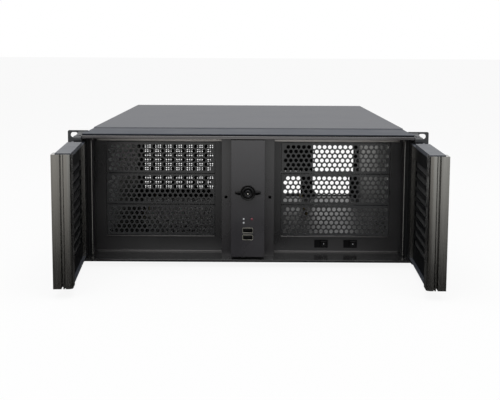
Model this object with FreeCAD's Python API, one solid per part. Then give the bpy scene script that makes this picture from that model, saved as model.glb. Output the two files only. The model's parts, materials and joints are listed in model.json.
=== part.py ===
import FreeCAD, Part
import math
import os

# Empty 19-inch server case, four rack units high, with two vented doors that swing
# open in front of six 5.25-inch drive bays and a lockable control column between them.
#
# Frame: X across the case (positive towards the right as seen from the front), Y from
# the front to the rear, Z up. The origin lies on the underside of the case, on its
# centre line, in the plane where the rack ears meet the posts of a rack.
# All lengths are in millimetres and all angles in degrees.

V = FreeCAD.Vector
ALONG_X = V(1, 0, 0)
ALONG_Y = V(0, 1, 0)
ALONG_Z = V(0, 0, 1)
NEAR = 0.01                    # how close an edge lies to the place it is looked for
PAST = 1.0                     # how far a cutting tool reaches beyond the sheet it cuts

# ---- driving dimensions -------------------------------------------------------------
# rack and case
rack_width = 482.6             # across the ears of a 19-inch panel
rack_height = 177.0            # a four-unit panel
ear_flange = 27.3              # from a side wall of the case to the edge of the panel
case_depth = 656.0             # from the rack plane to the rear face
sheet = 1.2                    # steel sheet of the case
ear_sheet = 2.0                # steel of the ears
touch_gap = 0.2                # room between sheets that slide past each other
flange = 12.0                  # width of the folded flanges along the top
hood_rear = 75.0               # rear edge of the fixed strip over the drive bays
cover_lap = 14.0               # how far the cover lies on that strip
cover_lip = 14.0               # depth of the cover's folded edges
cover_lip_sheet = 1.0

# ears
slot_inset_x = 8.75            # from the side of the rack panel to the middle of a slot
slot_inset_z = 5.95            # from its top and bottom edges
slot_length = 10.0
slot_height = 6.8
ear_leg_length = 45.0          # the leg that is screwed to the side of the case
ear_leg_bottom = 8.0
ear_leg_inset = 17.0           # from the top of the case

# front frame
frame_reach = 44.0             # how far the rails stand in front of the rack plane
frame_overhang = 2.3           # the rails stand out this far beyond the side walls
rail_bottom = 7.0
rail_lip_height = 4.2           # of the upper rail
lower_lip_rise = 0.4            # how far the lower rail's lip stands above the recess floor
rail_lip_depth = 4.0
rail_edge = 0.6                 # rounding of the lip's long edges
rail_web = 2.2
recess_floor = 9.8             # top of the lower rail's web
shadow_gap = 1.2               # dark joint between the upper rail and the strip above
bay_face = 19.5                # front of the drive-bay panel, behind the rack plane
post_overhang = 2.2            # the posts stand out beyond the rails
post_width = 11.5
post_depth = 14.0
post_flute = 1.6
flute_shares = (0.3, 0.55)     # places of the two flutes across the post
bead_radius = 1.1
bead_inset = 1.65              # from the inner edge of a post to the middle of its bead

# drive bays
bay_count = 3
bay_inner_margin = 10.05       # from the control channel to the windows
bay_outer_margin = 13.45       # from the windows to the posts
bay_bottom = 31.8
bay_top_margin = 12.2          # from the windows to the upper rail
bay_side_gap = 0.5
bay_cover_gap = 1.0            # dark joint between two covers
bay_cover_inset = 0.6          # the covers lie this far behind the panel's face
bay_cover_return = 18.0        # depth of the covers' folded edges
bay_cover_sheet = 1.0
mesh_pitch = 7.05
mesh_radius = 2.6
mesh_margin = 2.0              # plain border left around the holes
mesh_shift = 0.5               # the pattern is punched off the middle of each cover
lip_reach = 2.0                # the ledges under the windows and along the panel's foot
lip_height = 1.4
cage_length = 145.0
cage_sheet = 1.0
cage_slot_length = 9.0
cage_slot_height = 3.6
cage_slot_pitch = 32.0
cage_slots_along = 4

# control column
channel_half = 35.0
channel_face = -17.0           # front of the channel behind the control housing
channel_hole_x = 29.2
channel_hole_z = 90.0
channel_hole_radius = 2.0
housing_half = 22.0
housing_sheet = 1.5
housing_end_gap = 4.25         # from the housing to the rails
housing_set_back = 0.4         # the housing's face lies this far behind the rails' faces

# lock
lock_share = 0.5555            # place of the lock in the height of the housing
knob_radius = 10.0
knob_proud = 4.2
knob_edge = 1.0
wing_half = 16.8
wing_width = 5.0
wing_proud = 3.0
wing_tip = 2.0                 # rounding of the wing tips
lock_tube_radius = 6.0
lock_tube_wall = 1.5
keyhole_width = 1.2
keyhole_length = 5.0
keyhole_depth = 12.0
key_core_proud = 0.6
latch_half = 28.0
latch_width = 8.0
latch_thickness = 1.6
latch_swell = 3.0              # metal left around the tube
running_gap = 0.05             # radial room in every turning fit

# front ports and lights
usb_width = 13.4
usb_height = 6.6
usb_pitch = 9.3
usb_share = 0.2297             # place of the upper port in the height of the housing
usb_depth = 14.0
usb_shell = 0.6
usb_tongue = 1.8
usb_tongue_set_back = 0.6
usb_proud = 0.3
port_gap = 0.3
light_x = 5.4
light_share = 0.3284
light_pitch = 5.0
light_radius = 1.2
alarm_radius = 1.5
light_proud = 0.4
board_half = 16.0
board_below_port = 19.7
board_above_light = 7.1
board_thickness = 1.6

# push buttons
switch_shift = 1.5             # the pair of switches sits off the middle of the bays
switch_pitch = 40.0
switch_z = 20.9
switch_width = 18.5
switch_height = 10.9
switch_depth = 15.0
switch_proud = 0.6
button_offset = 3.6            # the button sits off the middle of its switch
button_size = 8.6
button_proud = 1.6
button_length = 9.0
button_travel = 1.5
button_gap = 0.3
button_edge = 0.6

# doors
door_bottom_gap = 1.2          # from the lower rail's web to the door
door_top_gap = 4.4             # from the upper rail's web
door_thickness = 22.7
door_edge_gap = 2.3            # from the control housing to the edge of a closed door
door_proud = 2.6               # a closed door stands this far in front of the rails
pin_overhang = 5.5             # the hinge pins stand beyond the ends of the rails
pin_from_inner_face = 8.0
pin_radius = 2.0
pin_depth = 8.0
pin_end_gap = 0.5
pin_head_radius = 3.2
pin_head_height = 1.2
hinge_overhang = 9.0           # from the pin to the hinge end of the door
left_door_open = 86.1
right_door_open = 87.8
lug_width = 9.8
lug_front_gap = 3.0            # from the front of the rails to the tip of a lug
lug_top_gap = 2.0              # from the hood to the upper lug
lug_shoulder_gap = 1.0         # from the top of the ear to the lug's shoulder
lug_shoulder_length = 18.0
lug_nose = 3.0                 # radius of the lug's front edges
lug_gap = 0.7                  # between a lug and the door
lug_bottom = 5.0
edge_stile = 25.0
hinge_stile = 24.0
stile_wall = 1.6
stile_rounding = 1.4           # of the hinge end
cap_sheet = 1.0                # end plates over the panels and the hinge stile
cap_rise = 4.0                 # raised part of the top cap
cap_lap = 1.5                  # its lip over the edge stile
cap_notch = 50.0               # the raised part starts this far from the hinge pin
cap_inset = 4.6                # the caps stop short of the outer face
cap_end_gap = 0.6
bottom_cap_rise = 2.5          # the bottom cap lies higher than the foot of the edge stile
outer_band = 9.5
latch_groove = 2.2
fin = 1.5
seal_groove = 1.1
latch_groove_depth = 12.0
seal_groove_depth = 6.0
edge_rounding = 5.0            # of the free edge, on the inner side
boss_length = 12.0
boss_depth = 10.0
door_panel_sheet = 1.5
face_set_back = 1.0
inner_set_back = 4.0
vent_end_margin = 21.6         # plain part of a door above and below the vents
vent_height = 8.0
vent_rows = 9
vent_margin = 12.0
face_vent_columns = 3
face_vent_gap = 6.0
filter_thickness = 5.0

# rear panel
rear_flange = 14.0
expansion_count = 7
expansion_pitch = 20.32
expansion_inset = 78.1         # from the side of the case to the middle slot
expansion_opening = 14.0
expansion_bottom = 12.0
expansion_height = 106.0
cover_plate_width = 18.6
cover_plate_lap_below = 4.0    # how far a slot cover reaches beyond its opening
cover_plate_lap_above = 12.0
cover_plate_sheet = 0.8
cover_screw_rise = 6.0         # from the opening to the cover's screw
cover_hole_radius = 1.2
cover_hole_pitch_x = 4.3
cover_hole_pitch_z = 4.0
cover_hole_columns = 3
cover_hole_rows = 26
io_from_slots = 78.9           # from the middle slot to the connector opening
io_width = 158.75
io_bottom = 5.4
io_height = 44.5
psu_from_io = 23.65            # from the connector opening to the supply opening
psu_inset = 10.3               # from the side of the case to the supply opening
psu_bottom = 3.4
psu_top_inset = 23.1
psu_corner = 9.5               # the cut corner, across
psu_corner_height = 11.5
psu_step = 6.8                 # the opening is narrower near the floor
psu_step_height = 40.0
grille_from_io = 57.0          # from the connector opening to the middle of the fan grille
grille_top_inset = 71.6
grille_radius = 38.0
grille_hub_radius = 12.0
grille_rings = 5
grille_bar = 2.6
grille_spoke = 5.0
grille_spoke_angles = (45, 135)
grille_hole_spread = 71.5      # screw holes of an 80 mm fan
grille_hole_radius = 2.2

# fasteners
screw_radius = 1.5
screw_head_radius = 2.8
screw_head_height = 1.8
screw_length = 3.6
recess_reach = 1.6             # half the length of the cross recess
recess_half = 0.3              # half the width of its arms
screw_hole_gap = 0.1
standoff_radius = 3.0
standoff_height = 6.5
standoff_thread_radius = 1.25  # tapped for M3
standoff_thread_depth = 5.0
board_holes_across = (6.35, 163.83, 288.29)
board_holes_along = (10.16, 165.10, 237.49)
board_beyond_io = 5.75         # from the connector opening to the edge of the board
board_rear_gap = 12.0          # from the rear face to the edge of the board
rail_hole_radius = 2.1
rail_hole_z = 88.0
rail_hole_front = 90.0         # from the rack plane to the first hole for a slide
rail_hole_rear = 206.0         # from the last hole to the rear face
ear_screw_shares = (0.12, 0.5, 0.88)
cover_screw_shares = (0.1, 0.5, 0.9)

# ---- values that follow from them -----------------------------------------------------
half_body = rack_width / 2 - ear_flange
inner_half = half_body - sheet
frame_front = -frame_reach
cover_under = rack_height - sheet
hood_under = cover_under - sheet
web_under = hood_under - rail_web
frame_half = half_body + frame_overhang
post_outer = frame_half + post_overhang
post_inner = post_outer - post_width
bay_width = post_inner - channel_half - bay_inner_margin - bay_outer_margin
bay_centre = channel_half + bay_inner_margin + bay_width / 2
bay_top = web_under - bay_top_margin
bay_pitch = (bay_top - bay_bottom) / bay_count
bay_cover_face = bay_face + bay_cover_inset
mesh_row_pitch = mesh_pitch * math.sqrt(3) / 2
mesh_rows = int((bay_pitch - 2 * mesh_margin) / mesh_row_pitch)
mesh_columns = int((bay_width - 2 * mesh_margin) / mesh_pitch)
switch_first_x = bay_centre + switch_shift - switch_pitch / 2
housing_bottom = recess_floor + housing_end_gap
housing_top = web_under - housing_end_gap
housing_height = housing_top - housing_bottom
lock_height = housing_bottom + lock_share * housing_height
usb_upper_z = housing_bottom + usb_share * housing_height
light_upper_z = housing_bottom + light_share * housing_height
board_bottom = usb_upper_z - board_below_port
board_top = light_upper_z + board_above_light
door_bottom = recess_floor + door_bottom_gap
door_top = web_under - door_top_gap
housing_face = frame_front + housing_set_back
door_outer_face = frame_front - door_proud
door_inner_face = door_outer_face + door_thickness
pin_x = frame_half + pin_overhang
lug_reach = frame_reach - ear_sheet + lug_front_gap
lug_top = hood_under - lug_top_gap
lug_shoulder = rack_height - lug_shoulder_gap
door_width = pin_x + hinge_overhang - housing_half - door_edge_gap
pin_y = door_inner_face - pin_from_inner_face
rear_inner = case_depth - sheet
cover_plate_face = rear_inner - cover_plate_sheet
slot_spread_x = rack_width - 2 * slot_inset_x
slot_spread_z = rack_height - 2 * slot_inset_z
slot_x = slot_spread_x / 2
slot_middle_z = rack_height / 2
ear_leg_top = rack_height - ear_leg_inset
cover_front = hood_rear - cover_lap
expansion_middle = expansion_inset - half_body
expansion_top = expansion_bottom + expansion_height
cover_plate_bottom = expansion_bottom - cover_plate_lap_below
cover_plate_top = expansion_top + cover_plate_lap_above
cover_screw_z = expansion_top + cover_screw_rise
io_left = expansion_middle + io_from_slots
io_right = io_left + io_width
io_top = io_bottom + io_height
psu_left = io_right + psu_from_io
psu_right = half_body - psu_inset
psu_top = hood_under - psu_top_inset
grille_x = io_left + grille_from_io
grille_z = hood_under - grille_top_inset
board_right = io_right + board_beyond_io
board_rear = case_depth - board_rear_gap
rail_hole_last = case_depth - rail_hole_rear
latch_y = door_outer_face + outer_band + latch_groove / 2
board_front = housing_face + housing_sheet + usb_depth
hinge_end = -pin_x - hinge_overhang
free_end = hinge_end + door_width
hinge_stile_end = hinge_end + hinge_stile
edge_stile_start = free_end - edge_stile
edge_top = door_top - cap_lap
hinge_top = door_top - cap_rise
hinge_bottom = door_bottom + bottom_cap_rise
panel_top = hinge_top - cap_sheet
panel_bottom = hinge_bottom + cap_sheet
vent_pitch = (door_top - door_bottom - 2 * vent_end_margin) / vent_rows


# ---- helpers ----------------------------------------------------------------------------
def box(x0, x1, y0, y1, z0, z1):
    """A block between two corners."""
    return Part.makeBox(x1 - x0, y1 - y0, z1 - z0, V(x0, y0, z0))


def rod_y(x, z, radius, y0, y1):
    """A round bar along Y."""
    return Part.makeCylinder(radius, y1 - y0, V(x, y0, z), ALONG_Y)


def rod_z(x, y, radius, z0, z1):
    """A round bar along Z."""
    return Part.makeCylinder(radius, z1 - z0, V(x, y, z0), ALONG_Z)


def rod_x(y, z, radius, x0, x1):
    """A round bar along X."""
    return Part.makeCylinder(radius, x1 - x0, V(x0, y, z), ALONG_X)


def join(shapes):
    """One solid from several that touch or overlap."""
    first = shapes[0]
    return first.fuse(shapes[1:]).removeSplitter()


def cut(shape, tools):
    """The shape with all the tools taken out of it."""
    return shape.cut(Part.makeCompound(tools))


def mirrored(shape):
    """The same piece on the other side of the case."""
    return shape.mirror(V(0, 0, 0), ALONG_X)


def rectangle(x0, x1, z0, z1):
    """A rectangular outline in the XZ plane."""
    corners = [V(x0, 0, z0), V(x1, 0, z0), V(x1, 0, z1), V(x0, 0, z1), V(x0, 0, z0)]
    return Part.makePolygon(corners)


def circle(x, z, radius):
    """A round outline in the XZ plane."""
    return Part.Wire(Part.makeCircle(radius, V(x, 0, z), ALONG_Y))


def plate(outline, holes, y0, thickness):
    """A flat sheet in an XZ plane, pierced by the given outlines."""
    face = Part.makeFace([outline] + holes, "Part::FaceMakerBullseye")
    solid = face.extrude(V(0, thickness, 0))
    solid.translate(V(0, y0, 0))
    return solid


def prism(points, height_z, z0):
    """A vertical bar with the given outline in the XY plane."""
    corners = [V(x, y, z0) for x, y in points]
    wire = Part.makePolygon(corners + [corners[0]])
    return Part.Face(wire).extrude(V(0, 0, height_z))


def screw(x, y, z, axis):
    """A pan-head screw; the axis points from the head into the sheet."""
    head = Part.makeCylinder(screw_head_radius, screw_head_height, V(0, 0, -screw_head_height))
    rim = [edge for edge in head.Edges
           if edge.Closed and edge.CenterOfMass.z < -screw_head_height + NEAR]
    head = head.makeFillet(screw_head_height / 3, rim)
    cross = join([box(-recess_reach, recess_reach, -recess_half, recess_half,
                      -screw_head_height, -screw_head_height / 2),
                  box(-recess_half, recess_half, -recess_reach, recess_reach,
                      -screw_head_height, -screw_head_height / 2)])
    shank = Part.makeCylinder(screw_radius, screw_length)
    solid = join([head.cut(cross), shank])
    solid.Placement = FreeCAD.Placement(V(x, y, z), FreeCAD.Rotation(ALONG_Z, axis))
    return solid


def screw_hole(x, y, z, axis):
    """The clearance for the shank of such a screw."""
    start = V(x, y, z) - axis * screw_length
    return Part.makeCylinder(screw_radius + screw_hole_gap, screw_length * 3, start, axis)


# ---- places of the fasteners -----------------------------------------------------------
def expansion_x(index):
    """Middle of one expansion slot."""
    return expansion_middle + (index - (expansion_count - 1) / 2) * expansion_pitch


def expansion_screws():
    return [(expansion_x(i), cover_plate_face, cover_screw_z, ALONG_Y) for i in range(expansion_count)]


def ear_screws():
    places = []
    for side in (-1, 1):
        for share in ear_screw_shares:
            z = ear_leg_bottom + share * (ear_leg_top - ear_leg_bottom)
            places.append((side * (half_body + ear_sheet), ear_leg_length / 2, z, V(-side, 0, 0)))
    return places


def cover_screws():
    places = []
    for side in (-1, 1):
        for share in cover_screw_shares:
            y = cover_front + share * (case_depth - cover_front)
            z = rack_height - cover_lip / 2
            places.append((side * (half_body + cover_lip_sheet), y, z, V(-side, 0, 0)))
    return places


# ---- sheet-metal body ----------------------------------------------------------------
def chassis_tray():
    """Floor and side walls folded from one sheet, with flanges along the top."""
    floor = box(-half_body, half_body, -ear_sheet, case_depth, 0, sheet)
    parts = [floor]
    for side in (-1, 1):
        outer = side * half_body
        inner = side * inner_half
        tip = side * (half_body - flange)
        x0, x1 = min(outer, inner), max(outer, inner)
        f0, f1 = min(outer, tip), max(outer, tip)
        parts.append(box(x0, x1, -ear_sheet, case_depth, 0, hood_under))
        parts.append(box(x0, x1, hood_rear, case_depth, hood_under, cover_under))
        parts.append(box(f0, f1, bay_face + sheet, cover_front, hood_under - sheet, hood_under))
        parts.append(box(f0, f1, hood_rear, rear_inner, cover_under - sheet, cover_under))
    tray = join(parts)
    tools = [screw_hole(*place) for place in ear_screws() + cover_screws()]
    for y in (rail_hole_front, rail_hole_last):
        tools.append(rod_x(y, rail_hole_z, rail_hole_radius, -half_body - PAST, half_body + PAST))
    return cut(tray, tools)


def grille_tools():
    """Broken rings and four fan holes, punched through the rear panel."""
    start = rear_inner - PAST
    end = case_depth + PAST
    rings = []
    step = (grille_radius - grille_hub_radius) / grille_rings
    for index in range(grille_rings):
        inner = grille_hub_radius + index * step
        outer = inner + step - grille_bar
        ring = rod_y(grille_x, grille_z, outer, start, end)
        rings.append(ring.cut(rod_y(grille_x, grille_z, inner, start, end)))
    spokes = []
    for angle in grille_spoke_angles:
        bar = box(-grille_radius, grille_radius, start, end, -grille_spoke / 2, grille_spoke / 2)
        bar.rotate(V(0, 0, 0), ALONG_Y, angle)
        bar.translate(V(grille_x, 0, grille_z))
        spokes.append(bar)
    tools = [cut(ring, spokes) for ring in rings]
    for side in (-1, 1):
        for rise in (-1, 1):
            x = grille_x + side * grille_hole_spread / 2
            z = grille_z + rise * grille_hole_spread / 2
            tools.append(rod_y(x, z, grille_hole_radius, start, end))
    return tools


def rear_panel():
    """The rear wall with its openings and two folded side flanges."""
    outline = rectangle(-inner_half, inner_half, sheet, hood_under)
    io_opening = rectangle(io_left, io_right, io_bottom, io_top)
    corners = [V(psu_left, 0, psu_bottom + psu_corner_height),
               V(psu_left + psu_corner, 0, psu_bottom),
               V(psu_right - psu_step, 0, psu_bottom),
               V(psu_right - psu_step, 0, psu_bottom + psu_step_height),
               V(psu_right, 0, psu_bottom + psu_step_height),
               V(psu_right, 0, psu_top),
               V(psu_left, 0, psu_top)]
    psu_opening = Part.makePolygon(corners + [corners[0]])
    slots = [rectangle(expansion_x(i) - expansion_opening / 2, expansion_x(i) + expansion_opening / 2,
                       expansion_bottom, expansion_top) for i in range(expansion_count)]
    wall = plate(outline, [io_opening, psu_opening] + slots, rear_inner, sheet)
    flanges = []
    for side in (-1, 1):
        x0, x1 = sorted((side * inner_half, side * (inner_half - sheet)))
        flanges.append(box(x0, x1, rear_inner - rear_flange, rear_inner, sheet, hood_under - sheet))
    panel = join([wall] + flanges)
    return cut(panel, [screw_hole(*place) for place in expansion_screws()] + grille_tools())


def top_cover():
    """The removable cover: a flat sheet with three edges folded down."""
    outer = half_body + cover_lip_sheet
    lip_bottom = rack_height - cover_lip
    parts = [box(-outer, outer, cover_front, case_depth + cover_lip_sheet, cover_under, rack_height)]
    for side in (-1, 1):
        x0, x1 = sorted((side * half_body, side * outer))
        parts.append(box(x0, x1, cover_front, case_depth + cover_lip_sheet, lip_bottom, cover_under))
    parts.append(box(-outer, outer, case_depth, case_depth + cover_lip_sheet, lip_bottom, cover_under))
    cover = join(parts)
    return cut(cover, [screw_hole(*place) for place in cover_screws()])


def front_hood():
    """The fixed strip that closes the top over the drive bays and the front recess."""
    outer = half_body + cover_lip_sheet
    front = box(-frame_half, frame_half, frame_front + shadow_gap, -ear_sheet, hood_under, cover_under)
    middle = box(-half_body, half_body, -ear_sheet, touch_gap, hood_under, cover_under)
    wide = box(-outer, outer, touch_gap, cover_front - touch_gap, hood_under, cover_under)
    tail = box(-half_body, half_body, cover_front - touch_gap, hood_rear, hood_under, cover_under)
    return join([front, middle, wide, tail])


def hinge_lug(z0, z1, shoulder):
    """An arm of the left ear that reaches forward and carries a hinge pin."""
    y = -ear_sheet
    tip = y - lug_reach
    corners = [V(0, y, z0),
               V(0, tip, z0),
               V(0, tip, z1),
               V(0, y - lug_shoulder_length, z1),
               V(0, y, shoulder)]
    side = Part.Face(Part.makePolygon(corners + [corners[0]]))
    arm = side.extrude(V(lug_width, 0, 0))
    arm.translate(V(-pin_x - lug_width / 2, 0, 0))
    fronts = [edge for edge in arm.Edges
              if edge.CenterOfMass.y < tip + NEAR and abs(edge.CenterOfMass.x + pin_x) < NEAR]
    return arm.makeFillet(lug_nose, fronts).removeSplitter()


def rack_ear():
    """The left ear: a flange with rack slots, a leg along the case and two hinge lugs."""
    flange_plate = box(-rack_width / 2, -half_body, -ear_sheet, 0, 0, rack_height)
    corners = [edge for edge in flange_plate.Edges
               if edge.CenterOfMass.x < -rack_width / 2 + NEAR
               and abs(edge.CenterOfMass.y + ear_sheet / 2) < NEAR]
    flange_plate = flange_plate.makeFillet(ear_sheet, corners)
    leg = box(-half_body - ear_sheet, -half_body, -ear_sheet, ear_leg_length, ear_leg_bottom, ear_leg_top)
    lugs = [hinge_lug(hinge_top + lug_gap, lug_top, lug_shoulder),
            hinge_lug(lug_bottom, hinge_bottom - lug_gap, hinge_bottom - lug_gap)]
    ear = join([flange_plate, leg] + lugs)
    tools = [rod_z(-pin_x, pin_y, pin_radius, -PAST, rack_height + PAST)]
    for sz in (-1, 1):
        z = slot_middle_z + sz * slot_spread_z / 2
        reach = (slot_length - slot_height) / 2
        tools.append(box(-slot_x - reach, -slot_x + reach, -ear_sheet - PAST, PAST,
                         z - slot_height / 2, z + slot_height / 2))
        tools.append(rod_y(-slot_x - reach, z, slot_height / 2, -ear_sheet - PAST, PAST))
        tools.append(rod_y(-slot_x + reach, z, slot_height / 2, -ear_sheet - PAST, PAST))
    tools += [screw_hole(*place) for place in ear_screws() if place[0] < 0]
    return cut(ear, tools)


# ---- front frame ---------------------------------------------------------------------
def rail(lip_bottom, lip_top, web_bottom, web_top):
    """A rail across the front: a lip in front and a web that runs back to the bay panel."""
    inside = inner_half - touch_gap
    lip = box(-frame_half, frame_half, frame_front, frame_front + rail_lip_depth, lip_bottom, lip_top)
    long_edges = [edge for edge in lip.Edges
                  if edge.Length > frame_half and edge.CenterOfMass.y < frame_front + NEAR]
    lip = lip.makeFillet(rail_edge, long_edges)
    web = box(-frame_half, frame_half, frame_front + rail_lip_depth / 2, -ear_sheet, web_bottom, web_top)
    tail = box(-inside, inside, -ear_sheet, bay_face, web_bottom, web_top)
    return join([lip, web, tail])


def top_rail():
    lip_top = hood_under - shadow_gap
    return rail(lip_top - rail_lip_height, lip_top, web_under, hood_under)


def bottom_rail():
    return rail(rail_bottom, recess_floor + lower_lip_rise, recess_floor - rail_web, recess_floor)


def post():
    """The left end post: a fluted strip with a round bead along its inner edge."""
    front = -ear_sheet - post_depth
    strip = box(-post_outer, -post_inner, front, -ear_sheet, recess_floor, web_under)
    tools = []
    for share in flute_shares:
        x = -post_outer + share * post_width
        tools.append(box(x, x + post_flute, front - PAST, front + post_flute,
                         recess_floor - PAST, web_under + PAST))
    # the ends are notched for the lugs of the ear
    notch_x = -pin_x + lug_width / 2 + touch_gap
    for z0, z1 in ((recess_floor - PAST, hinge_bottom - lug_gap + touch_gap),
                   (hinge_top + lug_gap - touch_gap, web_under + PAST)):
        tools.append(box(-post_outer - PAST, notch_x, front - PAST, PAST, z0, z1))
    bead_x = -post_inner - bead_inset
    bead = rod_z(bead_x, front, bead_radius, recess_floor, web_under)
    return join([cut(strip, tools), bead])


def bay_panel():
    """The panel that carries the bay covers and the push buttons."""
    outline = rectangle(-inner_half, inner_half, recess_floor, web_under)
    windows = [rectangle(side * bay_centre - bay_width / 2, side * bay_centre + bay_width / 2,
                         bay_bottom, bay_top) for side in (-1, 1)]
    cutouts = []
    for index in range(2):
        x = switch_first_x + index * switch_pitch
        cutouts.append(rectangle(x - switch_width / 2, x + switch_width / 2,
                                 switch_z - switch_height / 2, switch_z + switch_height / 2))
    sheet_part = plate(outline, windows + cutouts, bay_face, sheet)
    parts = [sheet_part]
    for side in (-1, 1):
        parts.append(box(side * bay_centre - bay_width / 2, side * bay_centre + bay_width / 2,
                         bay_face - lip_reach, bay_face, bay_bottom - lip_height, bay_bottom))
        x0, x1 = sorted((side * channel_half, side * post_inner))
        parts.append(box(x0, x1, bay_face - lip_reach, bay_face, recess_floor, recess_floor + lip_height))
    return join(parts)


def bay_cover(side, level):
    """A perforated blank that fills one drive bay, with all four edges folded back."""
    middle = side * bay_centre
    half = bay_width / 2 - bay_side_gap
    z0 = bay_bottom + level * bay_pitch + bay_cover_gap / 2
    z1 = z0 + bay_pitch - bay_cover_gap
    holes = []
    for row in range(mesh_rows):
        z = (z0 + z1) / 2 + (row - (mesh_rows - 1) / 2) * mesh_row_pitch
        shift = mesh_shift + (mesh_pitch / 4 if row % 2 else -mesh_pitch / 4)
        for column in range(mesh_columns):
            x = middle + (column - (mesh_columns - 1) / 2) * mesh_pitch + shift
            holes.append(circle(x, z, mesh_radius))
    grille = plate(rectangle(middle - half, middle + half, z0, z1), holes, bay_cover_face, bay_cover_sheet)
    outer = box(middle - half, middle + half, bay_cover_face + bay_cover_sheet,
                bay_cover_face + bay_cover_return, z0, z1)
    inside = box(middle - half + bay_cover_sheet, middle + half - bay_cover_sheet,
                 bay_cover_face + bay_cover_sheet, bay_cover_face + bay_cover_return,
                 z0 + bay_cover_sheet, z1 - bay_cover_sheet)
    return join([grille, outer.cut(inside)])


def bay_cage(side):
    """Side plates with screw slots for the drives, joined by a top plate."""
    middle = side * bay_centre
    inner = bay_width / 2
    front = bay_face + sheet
    rear = front + cage_length
    parts = [box(middle - inner - cage_sheet, middle + inner + cage_sheet, front, rear,
                 bay_top, bay_top + cage_sheet)]
    for end in (-1, 1):
        x0, x1 = sorted((middle + end * inner, middle + end * (inner + cage_sheet)))
        parts.append(box(x0, x1, front, rear, bay_bottom - lip_height, bay_top))
    cage = join(parts)
    slots = []
    for level in range(bay_count):
        z = bay_bottom + (level + 0.5) * bay_pitch
        for index in range(cage_slots_along):
            y = (front + rear) / 2 + (index - (cage_slots_along - 1) / 2) * cage_slot_pitch
            slots.append(box(middle - inner - 2 * cage_sheet, middle + inner + 2 * cage_sheet,
                             y - cage_slot_length / 2, y + cage_slot_length / 2,
                             z - cage_slot_height / 2, z + cage_slot_height / 2))
    return cut(cage, slots)


# ---- control column ------------------------------------------------------------------
def centre_channel():
    """The folded channel behind the control housing; its edges carry the door stops."""
    front = box(-channel_half, channel_half, channel_face, channel_face + sheet, recess_floor, web_under)
    walls = []
    for side in (-1, 1):
        x0, x1 = sorted((side * channel_half, side * (channel_half - sheet)))
        walls.append(box(x0, x1, channel_face, bay_face, recess_floor, web_under))
    channel = join([front] + walls)
    tools = [rod_y(side * channel_hole_x, channel_hole_z, channel_hole_radius,
                   channel_face - PAST, channel_face + sheet + PAST) for side in (-1, 1)]
    tools.append(box(-board_half, board_half, channel_face - PAST, channel_face + sheet + PAST,
                     board_bottom, board_top))
    return cut(channel, tools)


def usb_centres():
    return (usb_upper_z, usb_upper_z - usb_pitch)


def light_centres():
    return (light_upper_z, light_upper_z - light_pitch)


def centre_housing():
    """The control housing: a front plate with two long sides folded back."""
    holes = [circle(0, lock_height, lock_tube_radius + running_gap)]
    for z in usb_centres():
        holes.append(rectangle(-usb_width / 2 - port_gap, usb_width / 2 + port_gap,
                               z - usb_height / 2 - port_gap, z + usb_height / 2 + port_gap))
    for z in light_centres():
        holes.append(circle(-light_x, z, light_radius + running_gap))
    holes.append(circle(light_x, light_upper_z, alarm_radius + running_gap))
    front = plate(rectangle(-housing_half, housing_half, housing_bottom, housing_top), holes,
                  housing_face, housing_sheet)
    sides = []
    for side in (-1, 1):
        x0, x1 = sorted((side * housing_half, side * (housing_half - housing_sheet)))
        sides.append(box(x0, x1, housing_face, channel_face, housing_bottom, housing_top))
    housing = join([front] + sides)
    # the latch swings out through a slot in each side
    sweep = math.sqrt(latch_half ** 2 - (housing_half - housing_sheet) ** 2) + latch_width
    return cut(housing, [box(-housing_half - PAST, housing_half + PAST, latch_y - latch_thickness,
                             latch_y + latch_thickness, lock_height - sweep, lock_height + sweep)])


def lock_knob():
    """The winged knob and the tube that carries the latch."""
    disc = rod_y(0, lock_height, knob_radius, housing_face - knob_proud, housing_face)
    rim = [edge for edge in disc.Edges
           if edge.Closed and edge.CenterOfMass.y < housing_face - knob_proud + NEAR]
    disc = disc.makeFillet(knob_edge, rim)
    wings = box(-wing_half, wing_half, housing_face - wing_proud, housing_face,
                lock_height - wing_width / 2, lock_height + wing_width / 2)
    tips = [edge for edge in wings.Edges
            if abs(abs(edge.CenterOfMass.x) - wing_half) < NEAR
            and abs(edge.CenterOfMass.y - housing_face + wing_proud / 2) < NEAR]
    wings = wings.makeFillet(wing_tip, tips)
    tube = rod_y(0, lock_height, lock_tube_radius, housing_face, latch_y + latch_thickness)
    bore = lock_tube_radius - lock_tube_wall
    knob = join([disc, wings, tube])
    return knob.cut(rod_y(0, lock_height, bore, housing_face - knob_proud - PAST,
                          latch_y + latch_thickness + PAST))


def lock_cylinder():
    """The key cylinder inside the knob, with its key slot."""
    radius = lock_tube_radius - lock_tube_wall - running_gap
    front = housing_face - knob_proud - key_core_proud
    core = rod_y(0, lock_height, radius, front, latch_y + latch_thickness)
    keyway = box(-keyhole_width / 2, keyhole_width / 2, front - PAST, front + keyhole_depth,
                 lock_height - keyhole_length / 2, lock_height + keyhole_length / 2)
    return core.cut(keyway)


def latch_bar():
    """The two-ended latch; it stands upright in the housing while the doors are free."""
    bar = box(-latch_width / 2, latch_width / 2, latch_y - latch_thickness / 2,
              latch_y + latch_thickness / 2, lock_height - latch_half, lock_height + latch_half)
    swell = rod_y(0, lock_height, lock_tube_radius + latch_swell, latch_y - latch_thickness / 2,
                  latch_y + latch_thickness / 2)
    bore = rod_y(0, lock_height, lock_tube_radius, latch_y - latch_thickness, latch_y + latch_thickness)
    return join([bar, swell]).cut(bore)


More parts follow.
